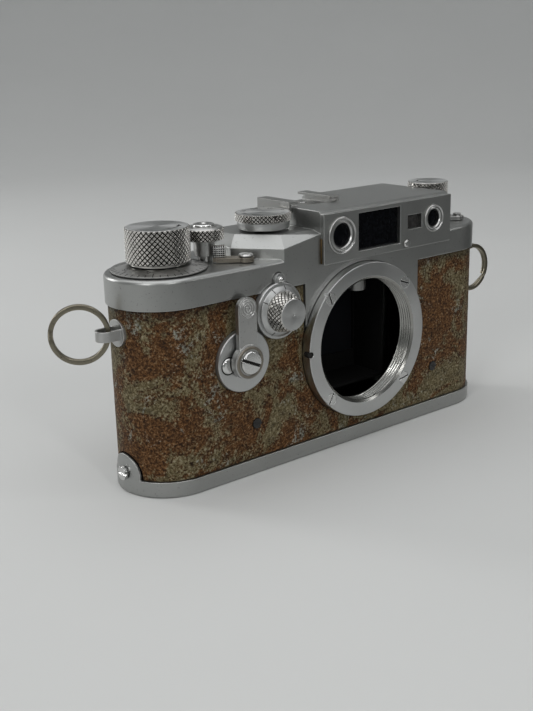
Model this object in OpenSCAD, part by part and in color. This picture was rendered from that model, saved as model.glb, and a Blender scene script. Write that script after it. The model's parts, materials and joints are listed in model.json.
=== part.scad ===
// Screw-mount rangefinder camera body, built as separate sub-parts.
// Origin: centre of the underside. +X to the right seen from the front, -Y out of the front, +Z up.

/* [Body] */
// Distance from the middle of the body to the centre of each rounded end
end_x = 53.5; // [53.2:0.1:54]
// Half the depth of the body over the metal covers
cover_r = 15.2; // [15.1:0.1:15.4]
// Height of the base plate's rim
base_h = 4.7; // [4.4:0.1:4.9]
// Height of the top cover's lower edge
cover_z = 53.3; // [53.3:0.1:53.5]
// Height of the low deck of the top cover
deck_z = 61.5; // [61.3:0.1:61.5]
// Thickness of the body covering
leather_t = 0.7; // [0.5:0.1:0.8]
// Wall of the body shell
shell_t = 1.2; // [1:0.1:1.3]

/* [Lens mount] */
// Lens axis, right of the middle
lens_x = 9; // [8.8:0.1:9.2]
// Lens axis, above the base
lens_z = 32.5; // [32.3:0.1:32.7]
// Outer radius of the mount's flange
flange_r = 23.9; // [23.5:0.1:24]
// Inner radius of the lens thread at its crests
thread_r = 18.9; // [18.7:0.05:19]
// Flange face in front of the body's middle
flange_y = 18; // [17.8:0.1:18.2]
// Distance of the mount's screws from the lens axis
screw_ring_r = 21.9; // [21.7:0.1:22]

/* [Finder housing] */
// Left end of the housing
house_x0 = -7.7; // [-8:0.1:-7.5]
// Right end of the housing
house_x1 = 46.3; // [46:0.1:46.5]
// Top of the housing
house_z = 73.3; // [73:0.1:73.5]
// How far the window plate stands in front of the housing
plate_t = 1.4; // [1.2:0.1:1.5]
// Top of the raised dial platform
platform_z = 67.8; // [67.6:0.1:68]

/* [Winding and shutter controls] */
// Radius of the advance knob
advance_r = 8.9; // [8.6:0.1:9]
// Top of the advance knob
advance_top = 73.4; // [73:0.1:74]
// Radius of the frame counter's disc
counter_r = 13.3; // [13:0.1:13.3]
// Radius of the collar round the release button
collar_r = 5.7; // [5.3:0.1:5.8]
// Travel of the release button
release_travel = 1.2; // [0.8:0.1:1.2]
// Radius of the shutter speed dial
speed_r = 8.2; // [8:0.1:8.3]
// Radius of the slow speed dial's flange
slow_r = 8.2; // [8:0.1:8.3]
// Radius of the self-timer's disc
timer_r = 9; // [8.8:0.1:9.1]
// Radius of the rewind knob
rewind_r = 6.6; // [6.3:0.1:6.8]

/* [Gears] */
// Gear module, pitch diameter over teeth
gear_m = 0.5; // [0.5:0.1:0.5]
// Teeth of the advance, sprocket and shutter gears
main_teeth = 31; // [31:2:31]
// Teeth of the idler
idler_teeth = 10; // [10:1:10]

/* [Strap rings] */
// Outer radius of a split ring
ring_r = 8.3; // [8.1:0.1:8.4]
// Thickness of a split ring, from its inside to its outside
ring_wire = 1.4; // [1.2:0.1:1.4]
// Upward tilt of the left ring, in degrees
left_tilt = 4; // [0:1:10]
// Downward tilt of the right ring, in degrees
right_tilt = 36; // [30:1:36]
// Direction of the left ring's plane, in degrees from +X
left_turn = 150; // [145:1:180]

/* [Hidden] */

$fn = 96;

// gaps: rest is between pieces that only sit near each other, run is a shaft in its bore
rest_gap = 0.2;
run_gap = 0.05;

// layers of the body wall, as radii round the two end axes
leather_r = cover_r - 0.6;
shell_r = leather_r - leather_t;
shell_in = shell_r - shell_t;
cover_in = cover_r - 1.1;
shell_z0 = 1.6;
plate_z0 = 52.5;
plate_z1 = 53.5;

// vertical axes of the controls
advance_at = [-53.5, 0];
gear_r = gear_m * main_teeth / 2;
idler_r = gear_m * idler_teeth / 2;
release_at = advance_at + [2 * gear_r, 0];
drum_y = -1.3;
drum_gap = 2 * gear_r + 2 * idler_r;
drum_turn = asin(drum_y / drum_gap);
drum_at = release_at + drum_gap * [cos(drum_turn), sin(drum_turn)];
idler_at = release_at + (gear_r + idler_r) * [cos(drum_turn), sin(drum_turn)];
rewind_at = [53.3, -0.4];
lever_at = [-31, -9.8];
lever_turn = 141;
lever_len = 7.45;
button_z = 69.6;

// axes of the front controls, as x and z
slow_at = [-24.4, 47.4];
slow_pin_at = [-24, 56.3];
slow_grip = [5.9, 4.6];
timer_at = [-37.6, 35.6];
timer_disc_at = [-37.3, 35.3];
timer_button_at = [-42.85, 35];

screw_spots = [[-32.5, 15.2], [41.6, 16.3]];
film_dial_at = [-4, 29];
film_dial_r = 13.5;

// gear train level and tooth phases
gear_z0 = 54.3;
gear_z1 = 55.8;
tooth = 360 / main_teeth;
idler_tooth = 360 / idler_teeth;
sprocket_phase = 180 + tooth / 2;
mesh_offset = (drum_turn - sprocket_phase) / tooth;
idler_phase = drum_turn + 180 + (mesh_offset + 0.5) * idler_tooth;
idler_offset = (drum_turn - idler_phase) / idler_tooth;
drum_phase = drum_turn + 180 + (idler_offset + 0.5) * tooth;

// film path
gate_y = 9.6;
gate_w = 36;
gate_h = 24;
film_reel_z = 14.1;

// finder windows, as x0, x1, z0, z1
view_window = [6, 23.6, 60.1, 71.4];
line_window = [26.8, 33.1, 63.8, 68.2];
bezel_left_at = [-0.7, 65.8];
bezel_right_at = [38.4, 66];
bezel_left_r = 5.5;
bezel_right_r = 4.35;
eyepiece_x = [3, 15];
eyepiece_z = 66.5;
eyepiece_r = 4.6;
house_y1 = 14.6;
plate_y = cover_r + plate_t;

// accessory shoe
shoe_x = 0.9;
shoe_w = 18.6;
shoe_y0 = -3;
shoe_y1 = 12;
shoe_z = house_z - 1.5;
shoe_t = 0.4;
shoe_gap = 2;
shoe_lip = 0.7;
shoe_wall = 0.6;

// base plate and its lock
ear_at = [-0.3, 5.9];
ear_r = 5.6;
lock_x = 49;
lock_r = 9;
tripod_x = -50;

// strap lugs and rings
lug_z = 46.3;
lug_hole = 2.05;
eye_x = 70.75;
ring_mid = ring_r - ring_wire / 2;

// ---- helpers ----

module rod_x(x0, x1, y, z, r) {
    translate([x0, y, z]) rotate([0, 90, 0]) cylinder(r = r, h = x1 - x0);
}

module rod_y(at, y0, y1, r) {
    translate([at[0], y0, at[1]]) rotate([-90, 0, 0]) cylinder(r = r, h = y1 - y0);
}

module rod_y_cone(at, y0, y1, r0, r1) {
    translate([at[0], y0, at[1]]) rotate([-90, 0, 0]) cylinder(r1 = r0, r2 = r1, h = y1 - y0);
}

module rod_z(at, z0, z1, r) {
    translate([at[0], at[1], z0]) cylinder(r = r, h = z1 - z0);
}

module block(low, high) {
    translate(low) cube(high - low);
}

// sweeps a half profile, distance from the axis against height, round the stadium outline
module around_body() {
    for (turn = [0, 180]) rotate(turn) {
        translate([end_x, 0, 0]) rotate(-90) rotate_extrude(angle = 180) children();
        translate([-end_x, 0, 0]) rotate([90, 0, 90]) linear_extrude(2 * end_x) children();
    }
}

module band(r0, r1, z0, z1) {
    translate([r0, z0]) square([r1 - r0, z1 - z0]);
}

// rectangle from the axis outwards with its upper outer corner rounded
module rounded_top(r, z0, z1, f) {
    band(0, r - f, z0, z1);
    band(0, r, z0, z1 - f);
    translate([r - f, z1 - f]) circle(f);
}

// disc with both rims chamfered, as a solid of revolution
module knob(r, z0, z1, c) {
    rotate_extrude() polygon([[0, z0], [r - c, z0], [r, z0 + c], [r, z1 - c], [r - c, z1], [0, z1]]);
}

// the same along Y, with its face towards -Y
module knob_y(at, y0, y1, r, c) {
    translate([at[0], 0, at[1]]) rotate([90, 0, 0]) knob(r, -y1, -y0, c);
}

function polar(r, a) = [r * cos(a), r * sin(a)];

// one tooth: root, pitch and tip half widths as angles
function tooth_points(r, a) = [
    polar(r - 0.9 * gear_m, a - 0.8 * gear_m / r * 57.3),
    polar(r + 0.7 * gear_m, a - 0.36 * gear_m / r * 57.3),
    polar(r + 0.7 * gear_m, a + 0.36 * gear_m / r * 57.3),
    polar(r - 0.9 * gear_m, a + 0.8 * gear_m / r * 57.3)
];

module gear(at, teeth, phase) {
    r = gear_m * teeth / 2;
    outline = [for (i = [0:teeth - 1]) each tooth_points(r, phase + i * 360 / teeth)];
    translate([at[0], at[1], gear_z0]) linear_extrude(gear_z1 - gear_z0) polygon(outline);
}

// slot for a screwdriver across a head that faces -Y
module slot_y(at, y0, len, wide, deep, turn) {
    translate([at[0], y0, at[1]]) rotate([0, turn, 0]) translate([-len / 2, -1, -wide / 2])
        cube([len, 1 + deep, wide]);
}

// ---- body ----

module shell_front() {
    color("dimgray") difference() {
        block([-end_x, -shell_r, shell_z0], [end_x, -shell_in, plate_z0]);
        rod_y([lens_x, lens_z], -shell_r - 1, -shell_in + 1, thread_r + 1.7);
        rod_y(slow_at, -shell_r - 1, -shell_in + 1, 1.7);
        rod_y(timer_at, -shell_r - 1, -shell_in + 1, 1.7);
    }
}

module shell_back() {
    color("dimgray") block([-end_x, shell_in, shell_z0], [end_x, shell_r, plate_z0]);
}

module shell_end(side) {
    color("dimgray") translate([side * end_x, 0, 0]) rotate(-90 * side)
        rotate_extrude(angle = 180) band(shell_in, shell_r, shell_z0, plate_z0);
}

module shell_left() {
    shell_end(-1);
}

module shell_right() {
    shell_end(1);
}

module apron_gap() {
    block([-14.1, -cover_r, 30], [33.4, -shell_r + 0.5, 60]);
}

// upright tab of the base plate at its hook end, seen along X
module ear_outline(grow) {
    rod_x(-72, -65, ear_at[0], ear_at[1], ear_r + grow);
    block([-72, ear_at[0] - ear_r - grow, 1], [-65, ear_at[0] + ear_r + grow, ear_at[1]]);
}

module body_covering() {
    color("saddlebrown") difference() {
        around_body() band(shell_r + run_gap, leather_r, base_h + rest_gap, cover_z - rest_gap);
        rod_y([lens_x, lens_z], -cover_r, -shell_r + 0.5, flange_r + rest_gap);
        rod_y(slow_at, -cover_r, -shell_r + 0.5, slow_r + rest_gap);
        rod_y(timer_disc_at, -cover_r, -shell_r + 0.5, timer_r + rest_gap);
        for (at = screw_spots) rod_y(at, -cover_r, -shell_r + 0.5, 1.6);
        rod_y(film_dial_at, shell_r - 0.5, cover_r, film_dial_r + rest_gap);
        for (side = [-1, 1]) rod_x(side * 68 - 1.5, side * 68 + 1.5, 0, lug_z, 3.9);
        ear_outline(0.4);
        apron_gap();
    }
}

module body_screws() {
    color("black") for (at = screw_spots) difference() {
        rod_y(at, -leather_r - 0.25, -shell_r, 1.5);
        slot_y(at, -leather_r - 0.25, 4, 0.4, 0.3, 30);
    }
}

module top_plate() {
    color("gray") difference() {
        union() {
            around_body() band(0, shell_r, plate_z0, plate_z1);
            rod_z(idler_at, plate_z1, gear_z1 + 0.6, 1);
            rod_z([-5, -8], 45.9, plate_z0, 0.9);
        }
        rod_z(advance_at, plate_z0 - 1, plate_z1 + 1, 2.5 + run_gap);
        rod_z(release_at, plate_z0 - 1, plate_z1 + 1, 2 + run_gap);
        rod_z(drum_at, plate_z0 - 1, plate_z1 + 1, 2.2 + run_gap);
        rod_z(rewind_at, plate_z0 - 1, plate_z1 + 1, 2 + run_gap);
        rod_y([lens_x, lens_z], -cover_r, -12, thread_r + 1.8);
    }
}

// ---- top cover ----

platform_foot = [[-21.6, -15.2], [-31, -2.8], [-31, 4.5], [-27.5, 14.6], [0, 14.6], [0, -15.2]];
platform_top = [[-19.6, -11.3], [-27.9, -0.9], [-27.9, 3.5], [-25, 11.4], [0, 11.4], [0, -11.8]];

// raised platform with bevelled edges; the front bevel's foot climbs towards the housing
module platform() {
    hull() {
        translate([0, 0, deck_z - 1.5]) linear_extrude(4.5) polygon(platform_foot);
        translate([0, 0, platform_z - 0.1]) linear_extrude(0.1) polygon(platform_top);
        translate([-8, -cover_r, 61]) cube([0.1, 0.1, 5.9]);
    }
}

// section of the finder housing across the body
module house_profile(inset) {
    f = 1.2 - inset / 2;
    y0 = -cover_r + inset;
    y1 = house_y1 - inset;
    top = house_z - inset;
    translate([y0, 57]) square([y1 - y0, top - f - 57]);
    translate([y0 + f, 57]) square([y1 - y0 - 2 * f, top - 57]);
    for (y = [y0 + f, y1 - f]) translate([y, top - f]) circle(f);
}

module house(inset) {
    translate([house_x0 + inset, 0, 0]) rotate([90, 0, 90])
        linear_extrude(house_x1 - house_x0 - 2 * inset) house_profile(inset);
}

module apron() {
    block([-13.8, -cover_r, lens_z], [33.1, -shell_r, cover_z + 1]);
}

// the accessory shoe sits in a shallow pocket that is open to the back and the left
module shoe_pocket(grow) {
    block([house_x0 - 5, shoe_y0 - rest_gap - grow, shoe_z - grow],
          [shoe_x + shoe_w / 2 + shoe_wall + 2 * rest_gap + grow, 20, 80]);
}

module cover_hollow() {
    around_body() band(0, cover_in, cover_z - 1, deck_z - 1);
    translate([-12, 0, 50]) scale(0.93) translate([12, 0, -50]) platform();
    difference() {
        house(1.1);
        shoe_pocket(1.1);
    }
}

module window_holes(grow) {
    block([view_window[0] - grow, -20, view_window[2] - grow],
          [view_window[1] + grow, -cover_in + 1, view_window[3] + grow]);
    block([line_window[0] - grow, -20, line_window[2] - grow],
          [line_window[1] + grow, -cover_in + 1, line_window[3] + grow]);
}

module top_cover() {
    color("silver") difference() {
        union() {
            difference() {
                union() {
                    around_body() rounded_top(cover_r, cover_z, deck_z, 1.2);
                    platform();
                    house(0);
                }
                cover_hollow();
            }
            apron();
        }
        shoe_pocket(0);
        window_holes(0.4);
        rod_y(bezel_left_at, -20, -cover_in + 1, bezel_left_r - 1);
        rod_y(bezel_right_at, -20, -cover_in + 1, bezel_right_r - 0.7);
        for (x = eyepiece_x) rod_y([x, eyepiece_z], cover_in - 2, 20, 3.4);
        rod_y([lens_x, lens_z], -20, -shell_r, flange_r + rest_gap);
        rod_y(slow_at, -20, -shell_r, slow_r + rest_gap);
        rod_y(slow_pin_at, -20, -shell_r, 1.9 + rest_gap);
        rod_z(advance_at, 58, 64, 2.8);
        rod_z(release_at, 58, 64, 1.5);
        rod_z(drum_at, 65, 70, 2.6);
        rod_z(rewind_at, 58, 64, 2.4);
        rod_z(lever_at, 58, 64, 1.05);
    }
}

module window_plate() {
    color("gainsboro") difference() {
        block([house_x0, -plate_y, 57.9], [house_x1, -cover_r, 72.6]);
        window_holes(0);
        rod_y(bezel_left_at, -20, -15, bezel_left_r - 0.8);
        rod_y(bezel_right_at, -20, -15, bezel_right_r - 0.5);
        rod_y([26.25, 59.6], -20, -15, 0.75);
    }
}

module viewfinder_window() {
    color([0.1, 0.12, 0.13, 0.6]) block(
        [view_window[0] - 0.3, -cover_r, view_window[2] - 0.3],
        [view_window[1] + 0.3, -cover_r + 0.8, view_window[3] + 0.3]);
}

module brightline_window() {
    color([0.1, 0.12, 0.13, 0.6]) block(
        [line_window[0] - 0.3, -cover_r, line_window[2] - 0.3],
        [line_window[1] + 0.3, -cover_r + 0.8, line_window[3] + 0.3]);
}

module bezel(at, r, hole, lip) {
    difference() {
        union() {
            knob_y(at, -plate_y - 0.7, -plate_y, r, 0.25);
            rod_y(at, -plate_y, -cover_r, r - lip);
        }
        rod_y(at, -20, -15, hole);
    }
}

module rangefinder_bezels() {
    color("silver") {
        bezel(bezel_left_at, bezel_left_r, 3.63, 0.85);
        bezel(bezel_right_at, bezel_right_r, 2.88, 0.55);
    }
}

module rangefinder_windows() {
    color([0.1, 0.12, 0.13, 0.6]) {
        rod_y(bezel_left_at, -cover_r, -cover_r + 0.8, 4.4);
        rod_y(bezel_right_at, -cover_r, -cover_r + 0.8, 3.55);
    }
}

module plate_screw() {
    color("silver") {
        knob_y([26.25, 59.6], -plate_y - 0.7, -plate_y, 1.28, 0.4);
        rod_y([26.25, 59.6], -plate_y, -cover_r, 0.7);
    }
}

// ---- lens mount and the dark chamber behind it ----

mount_screw_spots = [for (a = [45:90:315]) [lens_x, lens_z] + polar(screw_ring_r, a)];

module lens_mount_ring() {
    color("gainsboro") difference() {
        union() {
            knob_y([lens_x, lens_z], -flange_y, -shell_r, flange_r, 0.4);
            rod_y([lens_x, lens_z], -shell_r, -12.5, thread_r + 1.6);
        }
        rod_y([lens_x, lens_z], -20, -10, thread_r);
        for (at = mount_screw_spots) {
            rod_y(at, -20, -flange_y + 1.1, 2);
            rod_y(at, -20, -shell_r + 1, 1.05);
        }
        rod_y([lens_x - flange_r + 0.45, lens_z], -20, -flange_y + 2.2, 1);
    }
}

module mount_screws() {
    color("silver") for (i = [0:3]) difference() {
        union() {
            rod_y(mount_screw_spots[i], -flange_y + 0.05, -flange_y + 1.1, 1.9);
            rod_y(mount_screw_spots[i], -flange_y + 1.1, -shell_r, 0.95);
        }
        slot_y(mount_screw_spots[i], -flange_y + 0.05, 5, 0.45, 0.5, 20 + 50 * i);
    }
}

module light_box() {
    color("black") difference() {
        block([lens_x - 19.2, -5, lens_z - 18.3], [lens_x + 19.2, 8.6, lens_z + 18.3]);
        block([lens_x - 18.4, -6, lens_z - 17.5], [lens_x + 18.4, 7.8, lens_z + 17.5]);
        block([lens_x - gate_w / 2, 7, lens_z - gate_h / 2], [lens_x + gate_w / 2, 9, lens_z + gate_h / 2]);
    }
}

curtain_path = [[-16.5, 5.5], [-11.5, 8.85], [30, 8.85], [34, 6.2]];

module shutter_curtain() {
    back = [for (i = [3:-1:0]) curtain_path[i] + [0, 0.25]];
    color("black") translate([0, 0, lens_z - 15.5]) linear_extrude(31) polygon(concat(curtain_path, back));
}

module film_gate() {
    color("dimgray") difference() {
        union() {
            block([lens_x - 29, gate_y, lens_z - 18], [lens_x + 27, gate_y + 0.9, lens_z + 18]);
            for (z = [-17.7, -13.6, 12.6, 16.7])
                block([lens_x - 29, gate_y + 0.9, lens_z + z], [lens_x + 27, gate_y + 1.2, lens_z + z + 1]);
        }
        block([lens_x - gate_w / 2, 9, lens_z - gate_h / 2], [lens_x + gate_w / 2, 12, lens_z + gate_h / 2]);
    }
}

module pressure_plate() {
    color("darkgray") {
        block([lens_x - 27, 11.1, lens_z - 16.5], [lens_x + 27, 11.9, lens_z + 16.5]);
        for (x = [-15, 15]) rod_y([lens_x + x, lens_z], 11.9, shell_in, 3);
    }
}

// ---- fixed fittings ----

module lug_loop(side) {
    mirror([side < 0 ? 1 : 0, 0, 0]) translate([0, 0, lug_z]) {
        difference() {
            translate([0, 0, -1.4]) linear_extrude(2.8) difference() {
                union() {
                    translate([68.2, -2.6]) square([3.6, 5.2]);
                    translate([71.8, 0]) circle(2.6);
                }
                translate([68, -lug_hole]) square([3.8, 2 * lug_hole]);
                translate([71.8, 0]) circle(lug_hole);
            }
            rod_x(67, 68.4, 0, 0, 3.8);
        }
        difference() {
            rod_x(66.5, 68.4, 0, 0, 3.8);
            translate([end_x, 0, -5]) cylinder(r = shell_r, h = 10);
        }
    }
}

module strap_lugs() {
    color("silver") for (side = [-1, 1]) lug_loop(side);
}

module accessory_shoe() {
    x0 = shoe_x - shoe_w / 2;
    x1 = shoe_x + shoe_w / 2;
    lip_z = shoe_z + shoe_t + shoe_gap;
    color("silver") difference() {
        union() {
            block([x0 - shoe_wall, shoe_y0, shoe_z], [x1 + shoe_wall, shoe_y1, shoe_z + shoe_t]);
            block([x0 - shoe_wall, shoe_y0, shoe_z], [x0, shoe_y1, lip_z]);
            block([x1, shoe_y0, shoe_z], [x1 + shoe_wall, shoe_y1, lip_z]);
            block([x0 - shoe_wall, shoe_y0, lip_z], [x0 + 3, shoe_y1, lip_z + shoe_lip]);
            block([x1 - 3, shoe_y0, lip_z], [x1 + shoe_wall, shoe_y1, lip_z + shoe_lip]);
            block([x0, shoe_y0, shoe_z], [x1, shoe_y0 + 0.6, shoe_z + 1.4]);
        }
        for (at = shoe_screw_spots) rod_z(at, shoe_z - 1, shoe_z + 1, 1.2);
    }
}

shoe_screw_spots = [for (x = [-4.5, 4.5], y = [1.5, 7.5]) [shoe_x + x, y]];

module shoe_spring() {
    color("darkgray") block([shoe_x - 2.4, shoe_y0 + 1, shoe_z + shoe_t],
                            [shoe_x + 2.4, shoe_y1 - 1, shoe_z + shoe_t + 0.3]);
}

module shoe_screws() {
    color("silver") for (at = shoe_screw_spots) rod_z(at, shoe_z, shoe_z + shoe_t + 0.1, 1.1);
}

module release_collar() {
    color("silver") difference() {
        union() {
            rod_z(release_at, deck_z, 63.2, 2);
            rod_z(release_at, 63.2, 67.5, 3.1);
            translate([release_at[0], release_at[1], 0]) knob(collar_r, 67.5, 71.3, 0.4);
        }
        rod_z(release_at, deck_z - 1, 69, 1.35);
        rod_z(release_at, button_z - release_travel - rest_gap, 72, 3.4);
    }
}

module ar_lever_screw() {
    color("silver") difference() {
        union() {
            rod_z(lever_at, deck_z - 1, 63.1, 1);
            translate([lever_at[0], lever_at[1], 0]) knob(2.1, 63.1, 63.9, 0.25);
        }
        translate([lever_at[0], lever_at[1], 63.7]) rotate(20) translate([-3, -0.25, 0]) cube([6, 0.5, 1]);
    }
}

module slow_dial_base() {
    color("silver") difference() {
        union() {
            knob_y(slow_at, -16.4, -shell_r, slow_r, 0.25);
            rod_y(slow_pin_at, -16.2, -shell_r, 1.9);
        }
        rod_y(slow_at, -20, -13, 1.6 + run_gap);
        rod_y(slow_pin_at, -20, -15, 0.95);
    }
}

module slow_dial_pin() {
    color("silver") {
        knob_y(slow_pin_at, -17.2, -16.2, 1.05, 0.3);
        rod_y(slow_pin_at, -16.2, -15, 0.9);
    }
}

module timer_disc() {
    color("silver") difference() {
        knob_y(timer_disc_at, -16, -shell_r, timer_r, 0.25);
        rod_y(timer_at, -20, -13, 1.6 + run_gap);
        rod_y(timer_button_at, -20, -13, 2.4);
    }
}

module eyepiece_bezels() {
    color("gray") for (x = eyepiece_x) difference() {
        knob_y([x, eyepiece_z], house_y1, house_y1 + 1, eyepiece_r, 0.3);
        rod_y([x, eyepiece_z], 10, 20, 3.2);
    }
}

module eyepiece_lenses() {
    color([0.1, 0.12, 0.13, 0.6]) for (x = eyepiece_x)
        rod_y([x, eyepiece_z], house_y1 - 0.9, house_y1, 3.3);
}

module sync_socket() {
    at = [-40, 57.6];
    color("silver") difference() {
        knob_y(at, cover_r, cover_r + 1, 3.2, 0.3);
        rod_y(at, cover_r + 0.2, cover_r + 2, 1.9);
    }
    color("silver") rod_y(at, cover_r + 0.2, cover_r + 0.8, 0.8);
}

module base_stud() {
    color("silver") difference() {
        union() {
            rod_x(-69, -shell_r - end_x, ear_at[0], ear_at[1], 1.2);
            rod_x(-69.9, -69, ear_at[0], ear_at[1], 1.9);
        }
        translate([-71, ear_at[0] - 3, ear_at[1] - 0.25]) cube([1.5, 6, 0.5]);
    }
}

module film_dial_ring() {
    color("silver") difference() {
        knob_y(film_dial_at, shell_r, 15.4, film_dial_r, 0.3);
        rod_y(film_dial_at, 14.6, 16, film_dial_r - 1.2);
    }
}

// ---- film transport ----

module advance_knob() {
    color("silver") translate([advance_at[0], advance_at[1], 0]) {
        knob(advance_r, 63.9, advance_top, 0.4);
        translate([0, 0, 63.3]) cylinder(r = advance_r - 1, h = 0.6);
    }
}

module advance_gear() {
    color("gold") {
        rod_z(advance_at, 20, 63.3, 2.5);
        gear(advance_at, main_teeth, 0);
    }
}

module counter_dial() {
    color("silver") difference() {
        translate([advance_at[0], advance_at[1], 0]) knob(counter_r, deck_z + 0.3, 63, 0.3);
        rod_z(advance_at, 60, 64, 2.5 + run_gap);
    }
}

module take_up_spool() {
    color("black") difference() {
        union() {
            rod_z(advance_at, 8, 51.2, 5.5);
            rod_z(advance_at, 8, 9.2, 9);
            rod_z(advance_at, 50, 51.2, 9);
        }
        rod_z(advance_at, 18, 52, 2.5 + run_gap);
        translate([advance_at[0] - 0.4, advance_at[1] + 3.2, 14]) cube([0.8, 4, 34]);
    }
}

function star_points(n, r0, r1, w) = [for (i = [0:n - 1])
    each [polar(r0, (i - w) * 360 / n), polar(r1, (i - w / 2) * 360 / n),
          polar(r1, (i + w / 2) * 360 / n), polar(r0, (i + w) * 360 / n)]];

module sprocket_drum() {
    color("darkgray") difference() {
        union() {
            rod_z(release_at, 12, 51.5, 4.6);
            rod_z(release_at, 51, gear_z0, 2);
            for (side = [-1, 1])
                translate([release_at[0], release_at[1], lens_z + side * film_reel_z - 0.8])
                    linear_extrude(1.6) polygon(star_points(8, 5.9, 6.8, 0.2));
            gear(release_at, main_teeth, sprocket_phase);
        }
        rod_z(release_at, 10, 60, 1.2 + run_gap);
    }
}

module idler_gear() {
    color("gold") difference() {
        gear(idler_at, idler_teeth, idler_phase);
        rod_z(idler_at, 50, 60, 1 + run_gap);
    }
}

module curtain_drum() {
    color("dimgray") {
        rod_z(drum_at, 9, 51, 6.5);
        rod_z(drum_at, 51, 70.4, 2.2);
        gear(drum_at, main_teeth, drum_phase);
    }
}

module curtain_roller() {
    color("dimgray") {
        rod_z([34, 2.5], 10, 51, 3.4);
        rod_z([34, 2.5], 51, plate_z0 - 0.2, 1);
    }
}

// ---- controls on top ----

module speed_dial() {
    color("silver") difference() {
        translate([drum_at[0], drum_at[1], 0]) knob(speed_r, 70.7, 73.1, 0.3);
        rod_z(drum_at, 70, 70.9, 2.2 + run_gap);
    }
}

module speed_dial_ring() {
    color("gray") difference() {
        translate([drum_at[0], drum_at[1], 0]) knob(speed_r - 0.5, 68.4, 70.7, 0.2);
        rod_z(drum_at, 60, 72, 2.2 + run_gap);
    }
}

module release_button() {
    color("silver") {
        rod_z(release_at, 10, button_z, 1.2);
        difference() {
            translate([release_at[0], release_at[1], 0]) knob(3.15, button_z, 72.1, 0.4);
            translate([release_at[0], release_at[1], 79.5]) sphere(r = 8);
        }
    }
}

module ar_lever() {
    color("silver") translate([lever_at[0], lever_at[1], 0]) rotate(lever_turn) difference() {
        union() {
            translate([0, 0, deck_z + 0.3]) cylinder(r = 2.3, h = 1.2);
            translate([0, -1.7, deck_z + 0.3]) cube([lever_len + 0.7, 3.4, 1.2]);
            translate([lever_len - 1.75, -0.7, deck_z + 0.3]) cube([3.5, 1.4, 4.6]);
        }
        translate([0, 0, 60]) cylinder(r = 1.05, h = 6);
    }
}

// ---- controls on the front ----

module slow_dial_scale() {
    color("gainsboro") {
        translate([slow_at[0], 0, slow_at[1]]) rotate([90, 0, 0]) rotate_extrude()
            polygon([[0, 16.5], [7.3, 16.5], [7.3, 16.9], [slow_grip[0] + 0.2, 17.9], [0, 17.9]]);
        rod_y(slow_at, -16.5, -11.5, 1.6);
    }
}

module slow_dial_knob() {
    color("silver") rod_y_cone(slow_at, -22.3, -17.9, slow_grip[1], slow_grip[0]);
}

module timer_lever() {
    len = 15.2;
    color("silver") difference() {
        union() {
            rod_y(timer_at, -18.9, -16.8, 5);
            rod_y(timer_at, -16.9, -16.2, 2.6);
            block([timer_at[0] - 3.15, -18.4, timer_at[1]], [timer_at[0] + 3.15, -16.9, timer_at[1] + len]);
            rod_y(timer_at + [0, len], -18.4, -16.9, 3.15);
        }
        rod_y(timer_at, -20, -16, 1.6 + run_gap);
    }
}

module timer_screw() {
    color("silver") difference() {
        union() {
            knob_y(timer_at, -20, -18.9, 3.4, 0.3);
            rod_y(timer_at, -18.9, -11.5, 1.6);
        }
        slot_y(timer_at, -20, 8, 0.8, 0.6, 25);
    }
}

module timer_button() {
    color("silver") knob_y(timer_button_at, -16.5, -14.8, 2.3, 0.3);
}

// ---- rewind side ----

module rewind_shaft() {
    color("silver") difference() {
        rod_z(rewind_at, 42, 73, 2);
        translate([rewind_at[0] - 0.6, rewind_at[1] - 3, 41]) cube([1.2, 6, 5]);
    }
}

module rewind_knob() {
    color("silver") difference() {
        union() {
            translate([rewind_at[0], rewind_at[1], 0]) knob(rewind_r, 68.4, 74.7, 0.4);
            rod_z(rewind_at, 63.9, 68.4, 4);
        }
        rod_z(rewind_at, 60, 73.2, 2 + run_gap);
    }
}

module diopter_lever() {
    color("silver") translate([rewind_at[0], rewind_at[1], deck_z + 0.3]) rotate(-44) difference() {
        union() {
            cylinder(r = 6.5, h = 1.2);
            translate([0, -2.2, 0]) cube([9.8, 4.4, 1.2]);
            translate([9.8, 0, 0]) cylinder(r = 2.2, h = 1.2);
            translate([9.8, 0, 0]) cylinder(r = 1.3, h = 2);
        }
        translate([0, 0, -1]) cylinder(r = 4.3, h = 5);
    }
}

// ---- back, inside and base ----

module film_dial() {
    color("darkgray") knob_y(film_dial_at, 14.7, 15.8, film_dial_r - 1.4, 0.3);
}

module rangefinder_arm() {
    color("rosybrown") difference() {
        union() {
            rod_z([-5, -8], 46.2, 49.8, 1.9);
            block([-5, -8.7, 47], [13.2, -7.3, 48.8]);
            rod_z([13.2, -8], 46.1, 49.4, 3);
        }
        rod_z([-5, -8], 45, 51, 0.9 + run_gap);
    }
}

module base_plate() {
    color("silver") difference() {
        union() {
            around_body() {
                translate([0, 1.3]) mirror([0, 1]) rounded_top(cover_r, 0, 1.3, 0.7);
                band(shell_r + 0.15, cover_r, 1, base_h);
            }
            intersection() {
                translate([-end_x, 0, 0]) difference() {
                    cylinder(r = cover_r, h = 20);
                    translate([0, 0, -1]) cylinder(r = leather_r + run_gap, h = 22);
                }
                ear_outline(0);
            }
        }
        rod_x(-72, -66, ear_at[0], ear_at[1], 1.45);
        rod_z([lock_x, 0], -1, 3, lock_r + 0.1);
        rod_z([tripod_x, 0], -1, 3, 6 + run_gap);
    }
}

module tripod_bush() {
    color("silver") difference() {
        union() {
            rod_z([tripod_x, 0], 0.2, 1.3, 6);
            rod_z([tripod_x, 0], 1.3, 5, 7);
        }
        rod_z([tripod_x, 0], -1, 6, 2.55);
    }
}

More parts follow.
